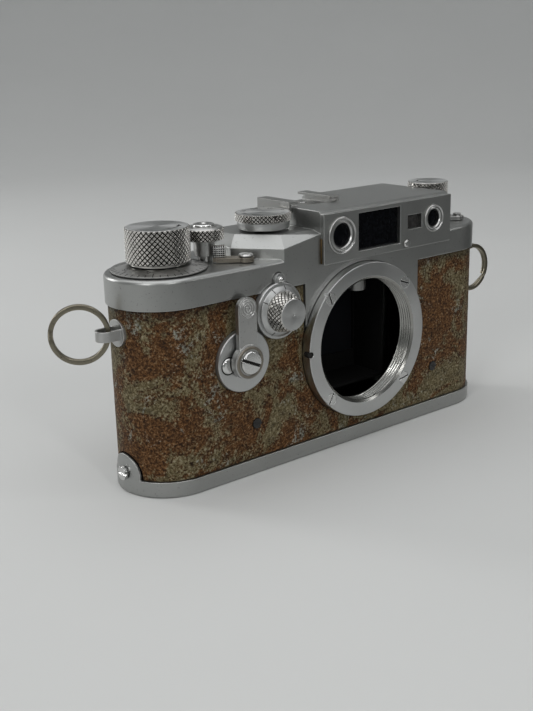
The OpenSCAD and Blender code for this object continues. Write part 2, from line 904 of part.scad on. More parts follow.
module lock_key() {
    color("silver") difference() {
        union() {
            rod_z([lock_x, 0], 0.3, 1.4, lock_r);
            rod_z([lock_x, 0], 1.4, 2.4, lock_r + 0.8);
            block([lock_x, -2.5, 2.4], [lock_x + 12, 2.5, 3.4]);
        }
        intersection() {
            rod_z([lock_x, 0], 0, 1.35, 8);
            block([lock_x - 9, -0.8, 0], [lock_x + 9, 9, 1.35]);
        }
    }
}

module lock_handle() {
    color("silver") {
        intersection() {
            rod_z([lock_x, 0], 0.4, 1.2, 7.6);
            block([lock_x - 9, 0, 0.4], [lock_x + 9, 9, 1.2]);
        }
        rod_x(lock_x - 7.4, lock_x + 7.4, 0, 0.8, 0.4);
    }
}

module split_ring(eye, turn, tilt) {
    translate(eye) rotate(turn) rotate([0, -tilt, 0]) translate([ring_mid, 0, 0]) rotate([90, 0, 0])
        rotate_extrude() translate([ring_r - ring_wire, -0.9]) square([ring_wire, 1.8]);
}

module ring_left() {
    color("darkkhaki") split_ring([-eye_x, 0, lug_z], left_turn, left_tilt);
}

module ring_right() {
    color("darkkhaki") split_ring([eye_x, 0, lug_z], 0, -right_tilt);
}

// ---- what is drawn ----

shell_front();
shell_back();
shell_left();
shell_right();
body_covering();
body_screws();
top_plate();
top_cover();
window_plate();
viewfinder_window();
brightline_window();
rangefinder_bezels();
rangefinder_windows();
plate_screw();
lens_mount_ring();
mount_screws();
light_box();
shutter_curtain();
film_gate();
pressure_plate();
strap_lugs();
accessory_shoe();
shoe_spring();
shoe_screws();
release_collar();
ar_lever_screw();
slow_dial_base();
slow_dial_pin();
timer_disc();
eyepiece_bezels();
eyepiece_lenses();
sync_socket();
base_stud();
film_dial_ring();
advance_knob();
advance_gear();
counter_dial();
take_up_spool();
sprocket_drum();
idler_gear();
curtain_drum();
curtain_roller();
speed_dial();
speed_dial_ring();
release_button();
ar_lever();
slow_dial_scale();
slow_dial_knob();
timer_lever();
timer_screw();
timer_button();
rewind_shaft();
rewind_knob();
diopter_lever();
film_dial();
rangefinder_arm();
base_plate();
tripod_bush();
lock_key();
lock_handle();
ring_left();
ring_right();
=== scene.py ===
"""Looks of the rangefinder camera body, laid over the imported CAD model. Lengths are in millimetres."""
import json
import math
import bpy
import numpy as np
from mathutils import Matrix, Vector, noise


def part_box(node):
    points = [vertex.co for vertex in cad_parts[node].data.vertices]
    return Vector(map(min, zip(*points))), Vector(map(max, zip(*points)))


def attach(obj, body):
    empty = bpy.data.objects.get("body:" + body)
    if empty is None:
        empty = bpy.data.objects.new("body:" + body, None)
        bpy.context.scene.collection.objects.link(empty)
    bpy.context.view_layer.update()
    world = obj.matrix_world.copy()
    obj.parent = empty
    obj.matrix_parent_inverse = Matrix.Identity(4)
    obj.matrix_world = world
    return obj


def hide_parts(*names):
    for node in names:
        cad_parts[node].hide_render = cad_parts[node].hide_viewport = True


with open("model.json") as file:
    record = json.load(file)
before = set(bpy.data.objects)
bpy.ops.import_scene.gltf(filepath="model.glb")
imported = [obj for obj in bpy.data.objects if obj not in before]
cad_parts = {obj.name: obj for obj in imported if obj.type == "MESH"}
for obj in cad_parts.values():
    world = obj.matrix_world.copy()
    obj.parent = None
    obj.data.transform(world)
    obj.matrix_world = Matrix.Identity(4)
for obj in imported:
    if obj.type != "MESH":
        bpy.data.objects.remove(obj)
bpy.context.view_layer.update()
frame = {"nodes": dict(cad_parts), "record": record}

MM = 0.001
NODES = frame["nodes"]


# ---- places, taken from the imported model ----

def middle(name):
    """Centre of a node's box, in millimetres."""
    low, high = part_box(name)
    return [(a + b) / 2 / MM for a, b in zip(low, high)]


def seen_from_above(name):
    x, y, _ = middle(name)
    return x, y


def seen_from_front(name):
    x, _, z = middle(name)
    return x, z


END_X = 53.5
LEATHER_R = 14.6
SHELL_R = 13.9
ADVANCE = seen_from_above("advance_knob")
RELEASE = seen_from_above("release_collar")
SPEED = seen_from_above("speed_dial")
REWIND = seen_from_above("rewind_knob")
LEVER = seen_from_above("ar_lever_screw")
LEVER_TURN = 141
SLOW = seen_from_front("slow_dial_knob")
SLOW_PIN = seen_from_front("slow_dial_pin")
TIMER = seen_from_front("timer_screw")
TIMER_DISC = seen_from_front("timer_disc")
TIMER_BUTTON = seen_from_front("timer_button")
LENS = seen_from_front("lens_mount_ring")
FILM_DIAL = seen_from_front("film_dial")
LUG_Z = middle("strap_lugs")[2]
STUD = middle("base_stud")[1:]
SCREWS = [(-32.5, 15.2), (41.6, 16.3)]
MOUNT_SCREW_R = 21.9
BEZELS = [((-0.7, 65.8), 5.5, 3.63), ((38.4, 66.0), 4.35, 2.88)]
EYE_X = 70.75
RING_MID = 7.6
GRAIN_SHARE = 0.35


def mount_screw(index):
    """Where one of the four screws of the mount ring sits, seen from the front."""
    a = math.radians(45 + 90 * index)
    return LENS[0] + MOUNT_SCREW_R * math.cos(a), LENS[1] + MOUNT_SCREW_R * math.sin(a)


# ---- materials ----

def tree_of(name):
    mat = bpy.data.materials.new(name)
    mat.use_nodes = True
    return mat, mat.node_tree.nodes, mat.node_tree.links


def add(nodes, kind, **values):
    """A shader node with its properties set; names starting in_ set sockets instead."""
    node = nodes.new(kind)
    for key, value in values.items():
        if key.startswith("in_"):
            node.inputs[key[3:].replace("_", " ")].default_value = value
        else:
            setattr(node, key, value)
    return node


def ramp(nodes, stops):
    node = nodes.new("ShaderNodeValToRGB")
    band = node.color_ramp
    while len(band.elements) < len(stops):
        band.elements.new(0.5)
    for element, (place, colour) in zip(band.elements, stops):
        element.position = place
        element.color = (*colour, 1)
    return node


def grey(v):
    return (v, v, v)


def noise_node(nodes, links, coords, scale, detail=3, rough=0.5, distortion=0.0):
    node = add(nodes, "ShaderNodeTexNoise", in_Scale=scale, in_Detail=detail, in_Roughness=rough,
               in_Distortion=distortion)
    links.new(coords, node.inputs["Vector"])
    return node.outputs["Fac"]


def mix_colour(nodes, links, fac, a, b, mode="MIX"):
    node = nodes.new("ShaderNodeMix")
    node.data_type = "RGBA"
    node.blend_type = mode
    for socket, value in ((node.inputs[0], fac), (node.inputs[6], a), (node.inputs[7], b)):
        if isinstance(value, bpy.types.NodeSocket):
            links.new(value, socket)
        elif isinstance(value, tuple):
            socket.default_value = (*value, 1)
        else:
            socket.default_value = value
    return node.outputs[2]


def shader(nodes, metallic, spec=0.5):
    bsdf = nodes["Principled BSDF"]
    bsdf.inputs["Metallic"].default_value = metallic
    bsdf.inputs["Specular IOR Level"].default_value = spec
    return bsdf


def rounded_normal(nodes, links, height, strength, depth, edge):
    """Bump from a height, on top of a normal that rounds sharp edges off."""
    bump = add(nodes, "ShaderNodeBump", in_Strength=strength, in_Distance=depth * MM)
    links.new(height, bump.inputs["Height"])
    if edge:
        bevel = add(nodes, "ShaderNodeBevel", samples=6, in_Radius=edge * MM)
        links.new(bevel.outputs["Normal"], bump.inputs["Normal"])
    return bump.outputs["Normal"]


def edge_highlight_mask(nodes, links, width):
    """One along sharp edges, zero elsewhere: where a painted highlight lightens the plating."""
    soft = add(nodes, "ShaderNodeBevel", samples=6, in_Radius=width * MM)
    flat = nodes.new("ShaderNodeNewGeometry")
    dot = nodes.new("ShaderNodeVectorMath")
    dot.operation = "DOT_PRODUCT"
    links.new(soft.outputs["Normal"], dot.inputs[0])
    links.new(flat.outputs["Normal"], dot.inputs[1])
    mask = nodes.new("ShaderNodeMapRange")
    mask.inputs["From Min"].default_value = 0.99
    mask.inputs["From Max"].default_value = 0.90
    links.new(dot.outputs["Value"], mask.inputs[0])
    return mask.outputs[0]


def metal(name, colour, rough, grain=5200, bump=0.10, edge=0.18,
          blotch=0.10, grime_and_shade=0.35, turned=0.0, knurl=False, edge_highlight=True):
    """Plated metal with fine grain, smudges, pits and dirt, painted shade in creases and knurl grooves, and
    a painted highlight on sharp edges; turned marks or a knurl are optional.
    """
    mat, nodes, links = tree_of(name)
    coords = nodes.new("ShaderNodeTexCoord").outputs["Object"]
    bsdf = shader(nodes, 1.0)
    cloud = noise_node(nodes, links, coords, 55, 4, 0.6)
    clouds = ramp(nodes, [(0.3, grey(1 - blotch)), (0.7, grey(1.0))])
    links.new(cloud, clouds.inputs[0])
    base = mix_colour(nodes, links, 1.0, colour, clouds.outputs[0], "MULTIPLY")
    speck = noise_node(nodes, links, coords, 1500, 2, 0.7)
    specks = ramp(nodes, [(0.27, grey(1 - grime_and_shade)), (0.36, grey(1.0))])
    links.new(speck, specks.inputs[0])
    base = mix_colour(nodes, links, 1.0, base, specks.outputs[0], "MULTIPLY")
    # Dirt and painted shade: concave creases, found by pointiness, are darkened to a brownish tone.
    crease_dirt_and_shade = ramp(nodes, [(0.40, (0.42, 0.38, 0.33)), (0.475, grey(1.0))])
    links.new(nodes.new("ShaderNodeNewGeometry").outputs["Pointiness"], crease_dirt_and_shade.inputs[0])
    shaded_creases = mix_colour(nodes, links, 1.0, base, crease_dirt_and_shade.outputs[0], "MULTIPLY")
    # One amount sets both the dirt specks and the painted shade in the creases.
    base = mix_colour(nodes, links, grime_and_shade, base, shaded_creases)
    height = noise_node(nodes, links, coords, grain, 2, 0.6)
    rough_low, rough_high = rough - 0.05, rough + 0.07
    if turned:
        split = nodes.new("ShaderNodeSeparateXYZ")
        links.new(coords, split.inputs[0])
        flat = nodes.new("ShaderNodeCombineXYZ")
        links.new(split.outputs["X"], flat.inputs["X"])
        links.new(split.outputs["Y"], flat.inputs["Y"])
        length = nodes.new("ShaderNodeVectorMath")
        length.operation = "LENGTH"
        links.new(flat.outputs[0], length.inputs[0])
        rings = add(nodes, "ShaderNodeTexNoise", noise_dimensions="1D", in_Scale=turned, in_Detail=3)
        links.new(length.outputs["Value"], rings.inputs["W"])
        height = rings.outputs["Fac"]
        bsdf.inputs["Anisotropic"].default_value = 0.75
        tangent = add(nodes, "ShaderNodeTangent", direction_type="RADIAL", axis="Z")
        links.new(tangent.outputs[0], bsdf.inputs["Tangent"])
    if knurl:
        # Dirt and painted shade: the groove bottoms of the knurl, where the tip attribute is zero, are
        # darkened almost to black.
        tip = add(nodes, "ShaderNodeAttribute", attribute_name="tip")
        dirt = ramp(nodes, [(0.25, (0.035, 0.03, 0.022)), (0.95, grey(1.0))])
        links.new(tip.outputs["Fac"], dirt.inputs[0])
        base = mix_colour(nodes, links, 1.0, base, dirt.outputs[0], "MULTIPLY")
    elif edge_highlight:
        # Painted highlight: sharp edges are drawn 1.35 times lighter than the plating.
        edge_highlight_colour = tuple(min(1.0, 1.35 * c) for c in colour)
        base = mix_colour(nodes, links, edge_highlight_mask(nodes, links, edge), base, edge_highlight_colour)
    span = nodes.new("ShaderNodeMapRange")
    span.inputs["To Min"].default_value = rough_low
    span.inputs["To Max"].default_value = rough_high
    links.new(cloud, span.inputs[0])
    links.new(span.outputs[0], bsdf.inputs["Roughness"])
    links.new(base, bsdf.inputs["Base Color"])
    links.new(rounded_normal(nodes, links, height, bump, 0.03, edge), bsdf.inputs["Normal"])
    return mat


def speckled(nodes, links, grain, field, low, high):
    """A patch mask whose border breaks up along the grain."""
    mixed = nodes.new("ShaderNodeMath")
    mixed.operation = "MULTIPLY_ADD"
    mixed.inputs[1].default_value = GRAIN_SHARE
    links.new(grain, mixed.inputs[0])
    links.new(field, mixed.inputs[2])
    middle_grain = GRAIN_SHARE / 2
    mask = add(nodes, "ShaderNodeMapRange", in_From_Min=low + middle_grain, in_From_Max=high + middle_grain)
    links.new(mixed.outputs[0], mask.inputs[0])
    return mask.outputs[0]


def leather(name):
    """Weathered hide: rust brown, khaki scuffed patches, grey green bloom, fine pebble grain, and a painted
    shadow darkening it just under the top cover.
    """
    mat, nodes, links = tree_of(name)
    coords = nodes.new("ShaderNodeTexCoord").outputs["Object"]
    bsdf = shader(nodes, 0.0, 0.2)
    grain = noise_node(nodes, links, coords, 1500, 4, 0.66, 0.5)
    rust = ramp(nodes, [(0.36, (0.013, 0.006, 0.002)), (0.47, (0.066, 0.027, 0.007)),
                        (0.56, (0.135, 0.060, 0.018)), (0.68, (0.27, 0.16, 0.08))])
    links.new(grain, rust.inputs[0])
    khaki = ramp(nodes, [(0.35, (0.034, 0.023, 0.008)), (0.46, (0.106, 0.082, 0.038)),
                         (0.57, (0.172, 0.142, 0.078)), (0.68, (0.32, 0.285, 0.19))])
    links.new(grain, khaki.inputs[0])
    bloom = ramp(nodes, [(0.34, (0.062, 0.060, 0.042)), (0.50, (0.168, 0.170, 0.138)),
                         (0.70, (0.34, 0.34, 0.29))])
    links.new(grain, bloom.inputs[0])
    patches = speckled(nodes, links, grain, noise_node(nodes, links, coords, 62, 7, 0.66, 0.8), 0.48, 0.53)
    spots = speckled(nodes, links, grain, noise_node(nodes, links, coords, 95, 6, 0.74, 0.6), 0.60, 0.655)
    colour = mix_colour(nodes, links, patches, rust.outputs[0], khaki.outputs[0])
    colour = mix_colour(nodes, links, spots, colour, bloom.outputs[0])
    dents = noise_node(nodes, links, coords, 420, 3, 0.7)
    shade = ramp(nodes, [(0.33, grey(0.55)), (0.52, grey(1.0))])
    links.new(dents, shade.inputs[0])
    colour = mix_colour(nodes, links, 1.0, colour, shade.outputs[0], "MULTIPLY")
    height = nodes.new("ShaderNodeSeparateXYZ")
    links.new(coords, height.inputs[0])
    # Painted shadow: towards the top edge, just under the top cover, the hide is darkened to 0.45 of its
    # colour.
    cover_shadow_low, cover_shadow_high, cover_shadow_depth = 49.0, 53.0, 0.45
    hem = add(nodes, "ShaderNodeMapRange", in_From_Min=cover_shadow_low * MM, in_From_Max=cover_shadow_high * MM,
              in_To_Min=1.0, in_To_Max=cover_shadow_depth)
    links.new(height.outputs["Z"], hem.inputs[0])
    colour = mix_colour(nodes, links, 1.0, colour, hem.outputs[0], "MULTIPLY")
    links.new(colour, bsdf.inputs["Base Color"])
    gloss = nodes.new("ShaderNodeMapRange")
    gloss.inputs["To Min"].default_value = 0.72
    gloss.inputs["To Max"].default_value = 0.5
    links.new(grain, gloss.inputs[0])
    links.new(gloss.outputs[0], bsdf.inputs["Roughness"])
    links.new(rounded_normal(nodes, links, grain, 0.75, 0.22, 0), bsdf.inputs["Normal"])
    return mat


def plain(name, colour, rough, spec=0.5, grain=900, bump=0.2, depth=0.05, vary=0.25):
    """Paint, cloth or plaster: a colour that wanders a little over a fine texture."""
    mat, nodes, links = tree_of(name)
    coords = nodes.new("ShaderNodeTexCoord").outputs["Object"]
    bsdf = shader(nodes, 0.0, spec)
    cloud = noise_node(nodes, links, coords, grain / 14, 4, 0.6)
    shade = ramp(nodes, [(0.3, grey(1 - vary)), (0.7, grey(1.0))])
    links.new(cloud, shade.inputs[0])
    links.new(mix_colour(nodes, links, 1.0, colour, shade.outputs[0], "MULTIPLY"), bsdf.inputs["Base Color"])
    height = noise_node(nodes, links, coords, grain, 3, 0.6)
    gloss = nodes.new("ShaderNodeMapRange")
    gloss.inputs["To Min"].default_value = max(rough - 0.08, 0.02)
    gloss.inputs["To Max"].default_value = min(rough + 0.08, 1.0)
    links.new(cloud, gloss.inputs[0])
    links.new(gloss.outputs[0], bsdf.inputs["Roughness"])
    links.new(rounded_normal(nodes, links, height, bump, depth, 0), bsdf.inputs["Normal"])
    return mat


def glass(name, colour, rough=0.04):
    """Dark coated glass: nearly black, clear gloss, faint dust."""
    mat, nodes, links = tree_of(name)
    coords = nodes.new("ShaderNodeTexCoord").outputs["Object"]
    bsdf = shader(nodes, 0.0, 0.06)
    dust = noise_node(nodes, links, coords, 800, 4, 0.7)
    dusty = ramp(nodes, [(0.45, colour), (0.75, tuple(3 * c for c in colour))])
    links.new(dust, dusty.inputs[0])
    links.new(dusty.outputs[0], bsdf.inputs["Base Color"])
    gloss = nodes.new("ShaderNodeMapRange")
    gloss.inputs["To Min"].default_value = rough
    gloss.inputs["To Max"].default_value = rough + 0.10
    links.new(dust, gloss.inputs[0])
    links.new(gloss.outputs[0], bsdf.inputs["Roughness"])
    return mat


CHROME = metal("satin_chrome", (0.41, 0.415, 0.405), 0.36, edge=0.3)
FITTING = metal("satin_fitting", (0.50, 0.50, 0.49), 0.36, edge=0.25)
TURNED = metal("turned_face", (0.52, 0.525, 0.52), 0.36, turned=9000, bump=0.2, grime_and_shade=0.2)
KNURL = metal("knurled_grip", (0.62, 0.605, 0.575), 0.16, knurl=True, edge=0.07)
THREAD = metal("cut_thread", (0.42, 0.42, 0.40), 0.20, bump=0.05, grime_and_shade=0.5, edge_highlight=False)
BEZEL = metal("bezel_plate", (0.50, 0.50, 0.49), 0.27, bump=0.08, grime_and_shade=0.3, edge=0.1, edge_highlight=False)
SHOE = metal("shoe_rail", (0.36, 0.36, 0.35), 0.36, bump=0.12, edge_highlight=False)
OLD_GRIME = metal("old_grime", (0.15, 0.105, 0.055), 0.62, bump=0.3, edge_highlight=False)
COUNTER = metal("counter_face", (0.37, 0.37, 0.36), 0.38, turned=7000, bump=0.2, grime_and_shade=0.3, edge_highlight=False)
BRIGHT = metal("polished_plate", (0.70, 0.70, 0.69), 0.14, bump=0.05, grime_and_shade=0.25)
FLANGE = metal("mount_face", (0.58, 0.585, 0.58), 0.36, turned=7000, bump=0.18, grime_and_shade=0.15)
STEEL = metal("screw_steel", (0.66, 0.66, 0.65), 0.26, bump=0.25, grime_and_shade=0.5)
SPRING = metal("spring_steel", (0.34, 0.34, 0.33), 0.36, edge_highlight=False)
BRASS = metal("dull_brass", (0.30, 0.25, 0.17), 0.42, bump=0.2)
WIRE = metal("ring_wire", (0.30, 0.275, 0.21), 0.28, bump=0.3, blotch=0.35, grime_and_shade=0.7, edge=0.1)
GRIMY = metal("grimy_plate", (0.32, 0.29, 0.245), 0.42, bump=0.3, blotch=0.4, grime_and_shade=0.8)
LEATHER = leather("weathered_leather")
ENAMEL = plain("black_enamel", (0.006, 0.006, 0.006), 0.75, spec=0.2, bump=0.3)
CLOTH = plain("curtain_cloth", (0.006, 0.007, 0.010), 0.8, spec=0.2, grain=3000, bump=0.5)
# Black paint for engraved marks, also used for painted shade in slots, grooves and gaps.
INK_AND_PAINTED_SHADE = plain("engraving_paint_and_painted_shade", (0.010, 0.009, 0.008), 0.6, spec=0.3)
BLACK_HEAD = plain("blackened_screw", (0.012, 0.012, 0.012), 0.42, spec=0.5, grain=1500)
GLASS = glass("dark_glass", (0.0022, 0.0024, 0.003))
FROSTED = glass("frosted_glass", (0.028, 0.027, 0.026), 0.30)

SLOT_LOOKS = {
    "satin_chrome": CHROME, "satin_fittings": FITTING, "bright_chrome": BRIGHT, "screw_steel": STEEL,
    "black_enamel": ENAMEL, "black_screws": BLACK_HEAD, "spring_steel": SPRING, "brass": BRASS,
    "covering": LEATHER, "curtain_cloth": CLOTH, "window_glass": GLASS, "ring_wire": WIRE,
}
SLOT_OF = {s["node"]: s["material_slot"] for s in frame["record"]["subparts"]}


# ---- mesh tools ----

def upright(at):
    return Matrix.Translation(Vector((at[0], at[1], 0.0)) * MM)


def facing_front(at):
    """Local z points out of the front, towards -Y; at is x and z."""
    turn = Matrix(((1, 0, 0, 0), (0, 0, -1, 0), (0, 1, 0, 0), (0, 0, 0, 1)))
    return Matrix.Translation(Vector((at[0], 0, at[1])) * MM) @ turn


def facing_back(at):
    """Local z points out of the back, towards +Y."""
    turn = Matrix(((-1, 0, 0, 0), (0, 0, 1, 0), (0, 1, 0, 0), (0, 0, 0, 1)))
    return Matrix.Translation(Vector((at[0], 0, at[1])) * MM) @ turn


def piece(name, verts, faces, place, look, body,
          node=(), slot="satin_fittings", smooth=32, sharp=None, tip=None):
    """One visible piece: a mesh in its own axes, put in place, with a look and the body it rides on."""
    mesh = bpy.data.meshes.new(name)
    mesh.from_pydata((np.asarray(verts, float) * MM).tolist(), [], [list(map(int, f)) for f in faces])
    mesh.validate()
    mesh.shade_smooth()
    if smooth:
        mesh.set_sharp_from_angle(angle=math.radians(smooth))
    if sharp is not None:
        mesh.polygons.foreach_set("use_smooth", sharp)
    if tip is not None:
        mesh.attributes.new("tip", "FLOAT", "POINT").data.foreach_set("value", np.asarray(tip, np.float32))
    mesh.materials.append(look)
    obj = bpy.data.objects.new(name, mesh)
    bpy.context.scene.collection.objects.link(obj)
    obj.matrix_world = place
    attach(obj, body)
    if node:
        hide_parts(*([node] if isinstance(node, str) else node))
    return obj


def filleted(points, radius, steps=3, closed=False):
    """A polyline with every corner rounded, each by no more than a third of its shorter side."""
    pts = [np.array(p, float) for p in points]
    out = []
    for i, p in enumerate(pts):
        if not closed and i in (0, len(pts) - 1):
            out.append(p)
            continue
        before, after = pts[i - 1] - p, pts[(i + 1) % len(pts)] - p
        cut = min(radius, np.linalg.norm(before) / 3, np.linalg.norm(after) / 3)
        a = p + before / np.linalg.norm(before) * cut
        b = p + after / np.linalg.norm(after) * cut
        for t in np.linspace(0, 1, steps + 1):
            out.append((1 - t) ** 2 * a + 2 * t * (1 - t) * p + t * t * b)
    return [tuple(p) for p in out]


def lathe(profile, segments=96, ring=False, warp=None):
    """A turned solid from (radius, height) points; a ring closes on itself, others are capped."""
    turn = np.linspace(0, 2 * math.pi, segments, endpoint=False)
    if not ring:
        profile = [p for p in profile if p[0] > 1e-6]
    rows = []
    for r, h in profile:
        radius = np.full(segments, r) if warp is None else warp(turn, r, h)
        rows.append(np.stack([radius * np.cos(turn), radius * np.sin(turn), np.full(segments, h)], 1))
    verts = np.concatenate(rows)
    n = len(rows)
    faces = []
    for j in range(n if ring else n - 1):
        a, b = j * segments, ((j + 1) % n) * segments
        for i in range(segments):
            k = (i + 1) % segments
            faces.append((a + i, a + k, b + k, b + i))
    if not ring:
        faces.append(tuple(range(segments - 1, -1, -1)))
        faces.append(tuple((n - 1) * segments + i for i in range(segments)))
    return verts, faces


def turned_piece(name, profile, place, look, body, fillet=0.15, segments=96, ring=False, **rest):
    shape = filleted(profile, fillet, closed=ring)
    verts, faces = lathe(shape, segments, ring)
    return piece(name, verts, faces, place, look, body, **rest)


def knurled_piece(name, low, band, high, pitch, depth, place, look, body, **rest):
    """A turned solid whose grip band is cut with crossed grooves that leave flat diamonds.

    low and high are the (radius, height) points below and above the band; band is
    (lower radius, lower height, upper radius, upper height).
    """
    r0, h0, r1, h1 = band
    cell = 6
    around = cell * round(math.pi * (r0 + r1) / pitch)
    upward = max(cell, round(cell * (h1 - h0) / pitch))
    turn = np.linspace(0, 2 * math.pi, around, endpoint=False)
    rows, tips = [], []
    for r, h in low:
        rows.append((np.full(around, r), h))
        tips.append(np.ones(around))
    i = np.arange(around)
    for j in range(upward + 1):
        share = j / upward
        groove = ((i + j) % cell == 0) | ((i - j) % cell == 0)
        level = np.where(groove, 0.0, 1.0)
        rows.append((r0 + (r1 - r0) * share - depth * (1 - level), h0 + (h1 - h0) * share))
        # The tip attribute is zero in the grooves, where the knurl look paints dirt and shade.
        tips.append(level)
    for r, h in high:
        rows.append((np.full(around, r), h))
        tips.append(np.ones(around))
    rings = [np.stack([r * np.cos(turn), r * np.sin(turn), np.full(around, h)], 1) for r, h in rows]
    verts = np.concatenate(rings)
    faces, soft = [], []
    for row in range(len(rows) - 1):
        j = row - len(low)
        in_band = 0 <= j < upward
        a, b = row * around, (row + 1) * around
        for k in range(around):
            m = (k + 1) % around
            quad = (a + k, a + m, b + m, b + k)
            if not in_band:
                faces.append(quad)
                soft.append(True)
                continue
            low_diagonal = (k + j) % 2 == 0
            if low_diagonal:
                valley_line = (k - j) % cell == 0
            else:
                valley_line = (k + 1 + j) % cell == 0
            if low_diagonal == valley_line:
                faces += [(quad[0], quad[1], quad[2]), (quad[0], quad[2], quad[3])]
            else:
                faces += [(quad[0], quad[1], quad[3]), (quad[1], quad[2], quad[3])]
            soft += [False, False]
    faces.append(tuple(range(around - 1, -1, -1)))
    faces.append(tuple((len(rows) - 1) * around + k for k in range(around)))
    soft += [True, True]
    return piece(name, verts, faces, place, look, body, tip=np.concatenate(tips), sharp=soft, **rest)


def merged(parts):
    """Several (verts, faces) as one."""
    verts, faces, start = [], [], 0
    for v, f in parts:
        v = np.asarray(v, float)
        verts.append(v)
        faces += [tuple(i + start for i in face) for face in f]
        start += len(v)
    return np.concatenate(verts), faces


def moved(part, turn=0.0, shift=(0, 0, 0)):
    """(verts, faces) turned about local z in degrees and then shifted."""
    a = math.radians(turn)
    spin = np.array([[math.cos(a), math.sin(a), 0], [-math.sin(a), math.cos(a), 0], [0, 0, 1]])
    return np.asarray(part[0], float) @ spin + np.array(shift), part[1]


def prism(outline, z0, z1, taper=0.0):
    """An upright solid on a closed outline, with its upper edge drawn in by taper."""
    pts = np.array(outline, float)
    n = len(pts)
    centre = pts.mean(0)
    away = pts - centre
    inner = centre + away * (1 - taper / np.maximum(np.linalg.norm(away, axis=1, keepdims=True), 1e-6))
    levels = [(pts, z0), (pts, z1 - taper), (inner, z1)] if taper else [(pts, z0), (pts, z1)]
    verts = np.concatenate([np.column_stack([p, np.full(n, z)]) for p, z in levels])
    faces = [tuple(range(n - 1, -1, -1)), tuple((len(levels) - 1) * n + i for i in range(n))]
    for level in range(len(levels) - 1):
        a, b = level * n, (level + 1) * n
        faces += [(a + i, a + (i + 1) % n, b + (i + 1) % n, b + i) for i in range(n)]
    return verts, faces


def bar(x0, x1, y0, y1, z0, z1, taper=0.0):
    return prism([(x0, y0), (x1, y0), (x1, y1), (x0, y1)], z0, z1, taper)


def glyphs(text, size, z):
    """Generic numerals as a thin raised mesh, centred on the local origin."""
    curve = bpy.data.curves.new("numeral", "FONT")
    curve.body = text
    curve.size = size
    curve.extrude = 0.012
    curve.align_x = "CENTER"
    curve.align_y = "CENTER"
    curve.resolution_u = 3
    obj = bpy.data.objects.new("numeral", curve)
    bpy.context.scene.collection.objects.link(obj)
    mesh = obj.to_mesh()
    verts = np.array([v.co for v in mesh.vertices], float) + np.array([0, 0, z])
    faces = [tuple(p.vertices) for p in mesh.polygons]
    obj.to_mesh_clear()
    bpy.data.objects.remove(obj)
    bpy.data.curves.remove(curve)
    return verts, faces


def ring_of(parts, radius, angles):
    """Parts round a circle, each turned so that its top faces outward."""
    out = []
    for part, angle in zip(parts, angles):
        a = math.radians(angle)
        out.append(moved(part, angle - 90.0, (radius * math.cos(a), radius * math.sin(a), 0)))
    return out


def boolean(obj, cutters):
    """Takes closed cutters out of a closed piece, and keeps the result as its mesh."""
    for cutter in cutters:
        step = obj.modifiers.new("cut", "BOOLEAN")
        step.operation = "DIFFERENCE"
        step.solver = "MANIFOLD"
        step.object = cutter
    bpy.context.view_layer.update()
    graph = bpy.context.evaluated_depsgraph_get()
    mesh = bpy.data.meshes.new_from_object(obj.evaluated_get(graph), depsgraph=graph)
    obj.modifiers.clear()
    old = obj.data
    obj.data = mesh
    mesh.name = old.name
    bpy.data.meshes.remove(old)
    for cutter in cutters:
        bpy.data.objects.remove(cutter)


def cutter(part, place):
    mesh = bpy.data.meshes.new("cutter")
    mesh.from_pydata((np.asarray(part[0], float) * MM).tolist(), [], [list(map(int, f)) for f in part[1]])
    obj = bpy.data.objects.new("cutter", mesh)
    bpy.context.scene.collection.objects.link(obj)
    obj.matrix_world = place
    return obj


def rod(radius, z0, z1, segments=96):
    return lathe([(radius, z0), (radius, z1)], segments)


# ---- CAD nodes that show as they are ----

OWN_LOOKS = {
    "timer_disc": TURNED, "slow_dial_base": TURNED, "brightline_window": FROSTED,
    "rangefinder_windows": GLASS, "ar_lever": GRIMY, "top_plate": BRASS, "rangefinder_arm": SPRING,
    "accessory_shoe": SHOE,
}
for name, node in NODES.items():
    node.data.materials.clear()
    node.data.materials.append(OWN_LOOKS.get(name, SLOT_LOOKS[SLOT_OF[name]]))
    node.data.shade_smooth()
    node.data.set_sharp_from_angle(angle=math.radians(24))
    weighted = node.modifiers.new("weighted", "WEIGHTED_NORMAL")
    weighted.keep_sharp = True


# ---- covering ----

def stadium(s, r):
    """Point and outward normal at the distance s along the covering's outline, at radius r."""
    straight, turn = 2 * END_X, math.pi * LEATHER_R
    s = s % (2 * straight + 2 * turn)
    if s < straight:
        x, y, nx, ny = -END_X + s, -r, 0.0, -1.0
    elif s < straight + turn:
        a = (s - straight) / LEATHER_R - math.pi / 2
        nx, ny = math.cos(a), math.sin(a)
        x, y = END_X + r * nx, r * ny
    elif s < 2 * straight + turn:
        x, y, nx, ny = END_X - (s - straight - turn), r, 0.0, 1.0
    else:
        a = (s - 2 * straight - turn) / LEATHER_R + math.pi / 2
        nx, ny = math.cos(a), math.sin(a)
        x, y = -END_X + r * nx, r * ny
    return x, y, nx, ny


